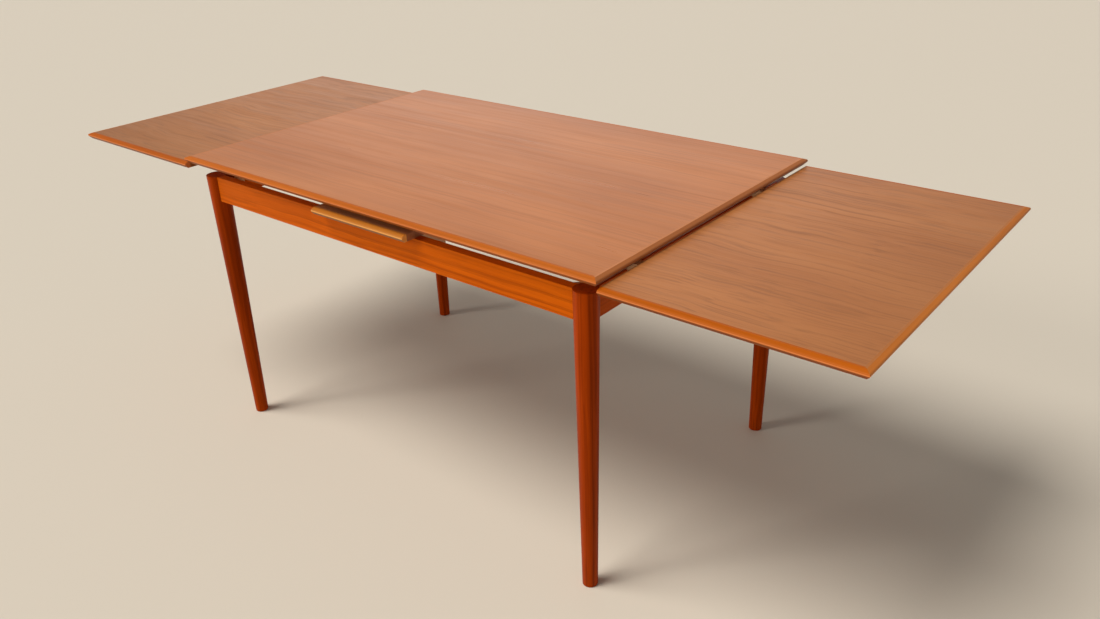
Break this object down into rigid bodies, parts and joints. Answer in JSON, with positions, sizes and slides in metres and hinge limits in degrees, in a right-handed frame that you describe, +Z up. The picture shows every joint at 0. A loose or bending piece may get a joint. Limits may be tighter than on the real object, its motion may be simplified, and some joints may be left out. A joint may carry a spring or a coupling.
{
  "type": "extending dining table",
  "caption": "Draw-leaf dining table on round tapered legs: a loose top lifts on dowels and end leaves slide in under it on sloping bars.",
  "frame": {"origin": "on the floor, midway between the four legs", "axes": "+X along the table towards the right leaf, +Y from the front towards the back, +Z up"},
  "size_m": [2.296, 0.845, 0.7584],
  "materials": {
    "veneer_top": "satin veneer",
    "veneer_right": "satin veneer",
    "veneer_left": "satin veneer",
    "top_lip": "satin",
    "top_lip_end": "satin",
    "lip": "satin",
    "lip_end": "satin",
    "board_lip": "satin",
    "board": "satin",
    "apron": "satin",
    "apron_end": "satin",
    "leg": "satin",
    "beech": "plain",
    "beech_block": "plain",
    "felt": "matt",
    "steel": "zinc plated"
  },
  "bodies": {
    "frame": {"centre_board_lip_front": "board_lip", "centre_board_lip_back": "board_lip", "centre_board": "board", "apron_front": "apron", "apron_back": "apron", "apron_left": "apron_end", "apron_right": "apron_end", "leg_front_right": "leg", "leg_front_left": "leg", "leg_back_right": "leg", "leg_back_left": "leg", "guide_inner_front": "beech", "guide_inner_back": "beech", "guide_middle_front": "beech", "guide_middle_back": "beech", "guide_outer_front": "beech", "guide_outer_back": "beech", "corner_block_front_right": "beech_block", "corner_block_front_left": "beech_block", "corner_block_back_right": "beech_block", "corner_block_back_left": "beech_block", "felt_discs": "felt", "hanger_bolts": "steel", "hanger_nuts": "steel", "centre_board_screws": "steel"},
    "top": {"top_panel": "veneer_top", "top_lip_front": "top_lip", "top_lip_back": "top_lip", "top_lip_left": "top_lip_end", "top_lip_right": "top_lip_end", "top_dowel_front": "beech_block", "top_dowel_back": "beech_block", "top_dowel_pin_front": "steel", "top_dowel_pin_back": "steel"},
    "right_leaf": {"right_leaf_panel": "veneer_right", "right_leaf_lip_front": "lip", "right_leaf_lip_back": "lip", "right_leaf_lip_end": "lip_end", "right_loper_front": "beech", "right_loper_back": "beech", "right_loper_pegs": "beech_block", "right_loper_screws": "steel"},
    "left_leaf": {"left_leaf_panel": "veneer_left", "left_leaf_lip_front": "lip", "left_leaf_lip_back": "lip", "left_leaf_lip_end": "lip_end", "left_loper_front": "beech", "left_loper_back": "beech", "left_loper_pegs": "beech_block", "left_loper_screws": "steel"}
  },
  "joints": [
    {"name": "top_lift", "type": "slide", "parent": "frame", "child": "top", "axis": [0, 0, 1], "range_m": [-0.01635, 0]},
    {"name": "right_leaf_slide", "type": "slide", "parent": "frame", "child": "right_leaf", "axis": [0.9995, 0, 0.0331], "range_m": [-0.49827, 0]},
    {"name": "left_leaf_slide", "type": "slide", "parent": "frame", "child": "left_leaf", "axis": [-0.9995, 0, 0.0331], "range_m": [-0.49827, 0]}
  ]
}
